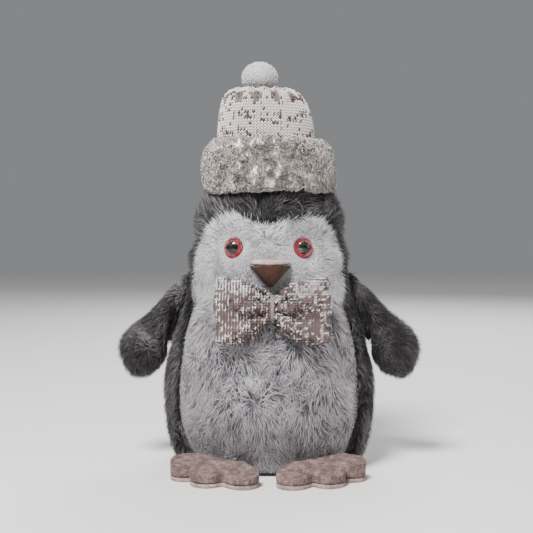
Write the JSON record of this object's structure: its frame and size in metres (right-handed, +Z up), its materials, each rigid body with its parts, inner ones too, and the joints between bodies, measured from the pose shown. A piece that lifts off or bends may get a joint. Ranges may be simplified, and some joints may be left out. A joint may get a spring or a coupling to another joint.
{
  "type": "plush penguin",
  "caption": "Weighted standing plush penguin with hinged sewn wings and felt feet, a tacked bow tie and a knitted hat with a curly cuff and pompom.",
  "frame": {"origin": "on the underside of the base panel, on the left to right mid-plane", "axes": "+Z up, the penguin faces -Y, +X is to the viewer's right from the front"},
  "size_m": [0.2112, 0.1491, 0.2881],
  "materials": {
    "charcoal_plush": "long pile plush",
    "white_plush": "long pile plush",
    "grey_felt": "short pile cloth",
    "board": "plain",
    "pellets": "cloth pouch of plastic pellets",
    "stuffing": "polyester fibre",
    "pale_felt": "felt",
    "brown_felt": "felt",
    "cream_knit": "knitted",
    "sherpa": "curly pile",
    "white_felt": "felted fibre",
    "thread": "twisted thread",
    "brown_knit": "marled knit",
    "satin_tape": "satin weave",
    "washer": "plain",
    "black_plastic": "polished",
    "red_iris": "translucent paint",
    "clear_dome": "clear, polished",
    "taupe_felt": "heather felt",
    "pale_taupe_felt": "heather felt"
  },
  "bodies": {
    "body": {"back_panel_left": "charcoal_plush", "back_panel_right": "charcoal_plush", "hood_panel": "charcoal_plush", "face_panel": "white_plush", "belly_panel": "white_plush", "base_panel": "grey_felt", "base_board": "board", "pellet_pouch": "pellets", "body_stuffing": "stuffing", "beak_upper": "pale_felt", "beak_lower": "brown_felt", "beak_stuffing": "stuffing", "hat_crown": "cream_knit", "hat_cuff": "sherpa", "hat_stuffing": "stuffing", "pompom_thread": "thread", "eye_washers": "washer", "eye_stem_left": "black_plastic", "eye_iris_left": "red_iris", "eye_pupil_left": "black_plastic", "eye_dome_left": "clear_dome", "wing_left_stitches": "thread", "eye_stem_right": "black_plastic", "eye_iris_right": "red_iris", "eye_pupil_right": "black_plastic", "eye_dome_right": "clear_dome", "wing_right_stitches": "thread"},
    "bow_tie": {"bow_fabric": "brown_knit", "bow_thread": "thread"},
    "pompom_ball": {"pompom": "white_felt"},
    "label": {"care_label": "satin_tape"},
    "wing_left": {"wing_left_front": "charcoal_plush", "wing_left_back": "charcoal_plush", "wing_left_stuffing": "stuffing"},
    "foot_left": {"foot_left_upper": "taupe_felt", "foot_left_padding": "stuffing", "foot_left_sole": "pale_taupe_felt"},
    "wing_right": {"wing_right_front": "charcoal_plush", "wing_right_back": "charcoal_plush", "wing_right_stuffing": "stuffing"},
    "foot_right": {"foot_right_upper": "taupe_felt", "foot_right_padding": "stuffing", "foot_right_sole": "pale_taupe_felt"}
  },
  "joints": [
    {"name": "wing_left_swing", "type": "hinge", "parent": "body", "child": "wing_left", "pos_m": [-0.06545, 0, 0.11235], "axis": [0.2824, 0, 0.9593], "range_deg": [-40, 40], "stiffness_Nm_per_rad": 0.05},
    {"name": "foot_left_lift", "type": "hinge", "parent": "body", "child": "foot_left", "pos_m": [-0.033, -0.047, 0.002], "axis": [-0.9703, 0.2419, 0], "range_deg": [0, 18], "stiffness_Nm_per_rad": 0.12},
    {"name": "wing_right_swing", "type": "hinge", "parent": "body", "child": "wing_right", "pos_m": [0.06545, 0, 0.11235], "axis": [0.2824, 0, -0.9593], "range_deg": [-40, 40], "stiffness_Nm_per_rad": 0.05},
    {"name": "foot_right_lift", "type": "hinge", "parent": "body", "child": "foot_right", "pos_m": [0.033, -0.047, 0.002], "axis": [-0.9703, -0.2419, 0], "range_deg": [0, 18], "stiffness_Nm_per_rad": 0.12},
    {"name": "bow_swivel", "type": "hinge", "parent": "body", "child": "bow_tie", "pos_m": [0.003, -0.06023, 0.11477], "axis": [0, -0.9763, 0.2164], "range_deg": [-12, 12], "stiffness_Nm_per_rad": 0.02},
    {"name": "pompom_nod", "type": "hinge", "parent": "body", "child": "pompom_ball", "pos_m": [-0.0068, -0.002, 0.2654], "axis": [0, 1, 0], "range_deg": [-8, 8], "stiffness_Nm_per_rad": 0.01},
    {"name": "label_flap", "type": "hinge", "parent": "body", "child": "label", "pos_m": [0.0008, 0.0578, 0.04], "axis": [0, 0, 1], "range_deg": [0, 70]}
  ]
}
